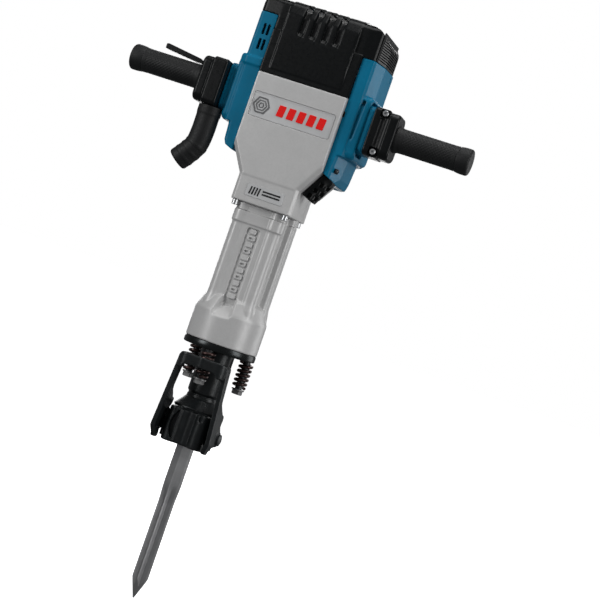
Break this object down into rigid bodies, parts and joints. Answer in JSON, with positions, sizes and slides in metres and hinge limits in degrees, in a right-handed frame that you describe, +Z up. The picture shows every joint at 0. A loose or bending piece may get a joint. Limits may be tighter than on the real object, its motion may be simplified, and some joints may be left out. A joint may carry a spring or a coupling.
{
  "type": "electric jackhammer",
  "caption": "Upright electric demolition breaker with side grips, blue shells, grey cast body, locking-bail tool holder and a hexagon point chisel.",
  "frame": {"origin": "the chisel's point, on the hammer axis", "axes": "+Z up the hammer axis towards the motor hood, -Y out of the front face that carries the badge, +X towards the grip without the switch lever"},
  "size_m": [0.634, 0.1975, 1.078],
  "materials": {
    "grey_casting": "light grey satin paint over a fine-grained aluminium casting",
    "blue_shell": "mid blue satin moulded plastic",
    "black_plastic": "black fine-grained moulded plastic",
    "grip_rubber": "black rubber, finely knurled on the grips",
    "black_forging": "black oxide on a forged surface, slightly oily",
    "spring_steel": "dark spring steel with a reddish-brown oxide sheen",
    "bright_steel": "bright machined steel",
    "tool_steel": "light grey ground tool steel",
    "lamination": "dull stacked electrical steel",
    "copper": null,
    "brass": "stamped brass",
    "circuit_board": "green potted circuit board",
    "label_plate": null
  },
  "bodies": {
    "housing": {"gear_housing": "grey_casting", "hammer_tube": "grey_casting", "cylinder_liner": "bright_steel", "holder_flange": "black_forging", "tool_holder": "black_forging", "spring_bolt_front": "bright_steel", "spring_bolt_right": "bright_steel", "spring_bolt_left": "bright_steel", "damper_spring_front": "spring_steel", "damper_spring_right": "spring_steel", "damper_spring_left": "spring_steel", "neck_screw_front_left": "bright_steel", "neck_screw_front_right": "bright_steel", "neck_screw_rear_left": "bright_steel", "neck_screw_rear_right": "bright_steel", "badge_plate": "label_plate", "type_plate": "label_plate", "motor_hood": "black_plastic", "side_shell_left": "blue_shell", "side_shell_right": "blue_shell", "rear_cover": "black_plastic", "air_grille": "black_plastic", "stator": "lamination", "motor_plate_left": "grey_casting", "motor_plate_right": "grey_casting", "gear_plate": "grey_casting", "brush_holder_upper": "brass", "brush_holder_lower": "brass", "control_module": "circuit_board"},
    "handle_frame": {"handle_yoke": "black_forging", "handle_boss_left": "blue_shell", "handle_boss_right": "blue_shell", "grip_block_left": "black_plastic", "grip_block_right": "black_plastic", "grip_left": "grip_rubber", "grip_right": "grip_rubber", "clamp_screw_upper": "bright_steel", "clamp_screw_lower": "bright_steel", "cable_boot": "grip_rubber", "handle_spring_left": "spring_steel", "handle_spring_right": "spring_steel"},
    "switch": {"switch_lever": "black_plastic"},
    "crank": {"crankshaft": "bright_steel", "crank_gear": "bright_steel"},
    "idler": {"idler_pinion": "bright_steel", "idler_gear": "bright_steel"},
    "rotor": {"rotor_shaft": "bright_steel", "rotor_core": "lamination", "commutator": "copper", "cooling_fan": "black_plastic"},
    "piston_unit": {"piston": "bright_steel", "wrist_pin": "bright_steel"},
    "rod_unit": {"connecting_rod": "bright_steel"},
    "ram_unit": {"ram": "bright_steel"},
    "anvil": {"impact_bolt": "bright_steel"},
    "tool": {"chisel": "tool_steel"},
    "bail": {"retaining_bail": "black_forging", "locking_pin": "bright_steel"}
  },
  "joints": [
    {"name": "handle_damping", "type": "slide", "parent": "housing", "child": "handle_frame", "axis": [0, 0, 1], "range_m": [-0.003, 0.003], "stiffness_N_per_m": 30000, "springref_m": 0.001, "deforming": ["handle_spring_left", "handle_spring_right"]},
    {"name": "switch_press", "type": "hinge", "parent": "handle_frame", "child": "switch", "pos_m": [-0.19, -0.031, 0.92], "axis": [0, -1, 0], "range_deg": [0, 5.5], "stiffness_Nm_per_rad": 0.6, "springref_deg": -8.59},
    {"name": "crank_spin", "type": "hinge", "parent": "housing", "child": "crank", "pos_m": [0, 0, 0.85], "axis": [1, 0, 0], "continuous": true},
    {"name": "idler_spin", "type": "hinge", "parent": "housing", "child": "idler", "pos_m": [0.05, 0.02217, 0.9111], "axis": [1, 0, 0], "continuous": true},
    {"name": "rotor_spin", "type": "hinge", "parent": "housing", "child": "rotor", "pos_m": [0, 0.035, 0.985], "axis": [1, 0, 0], "continuous": true},
    {"name": "piston_stroke", "type": "slide", "parent": "housing", "child": "piston_unit", "axis": [0, 0, 1], "range_m": [0, 0.038]},
    {"name": "rod_swing", "type": "hinge", "parent": "piston_unit", "child": "rod_unit", "pos_m": [0, 0, 0.721], "axis": [1, 0, 0], "range_deg": [-10, 10]},
    {"name": "ram_travel", "type": "slide", "parent": "housing", "child": "ram_unit", "axis": [0, 0, 1], "range_m": [0, 0.03]},
    {"name": "tool_travel", "type": "slide", "parent": "housing", "child": "tool", "axis": [0, 0, 1], "range_m": [0, 0.018]},
    {"name": "anvil_travel", "type": "slide", "parent": "housing", "child": "anvil", "axis": [0, 0, 1], "range_m": [0, 0.018]},
    {"name": "bail_swing", "type": "hinge", "parent": "housing", "child": "bail", "pos_m": [0, -0.019, 0.31], "axis": [1, 0, 0], "range_deg": [0, 150]}
  ],
  "couplings": [
    {"joint": "idler_spin", "follows": "crank_spin", "ratio": -2.25},
    {"joint": "rotor_spin", "follows": "crank_spin", "ratio": 11.25},
    {"joint": "anvil_travel", "follows": "tool_travel", "ratio": 1}
  ]
}
